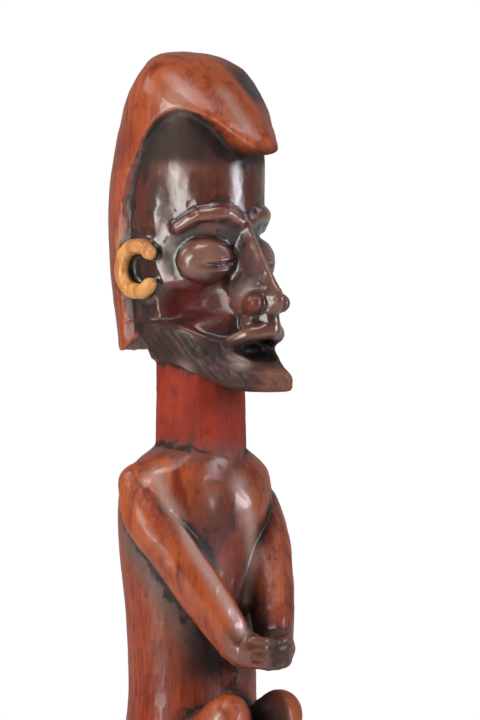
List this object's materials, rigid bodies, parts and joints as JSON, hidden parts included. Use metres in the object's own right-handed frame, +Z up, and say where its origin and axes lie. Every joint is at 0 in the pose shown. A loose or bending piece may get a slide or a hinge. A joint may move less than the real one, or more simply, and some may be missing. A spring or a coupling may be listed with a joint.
{
  "type": "carved wooden power figure",
  "caption": "Carved hardwood spirit figure squatting on a low oval base, with a keeled cap of hair, a wedge beard, a tall neck and arms folded down to the belly.",
  "frame": {"origin": "middle of the base's underside, on the ground", "axes": "+Z up, -Y the way the figure looks, +X to the figure's left"},
  "size_m": [0.106, 0.1251, 0.4673],
  "materials": {
    "carved_hardwood": "handled, oiled red-brown hardwood with a dark glossy patina on the face"
  },
  "bodies": {
    "root": {"figure": "carved_hardwood"}
  },
  "joints": []
}
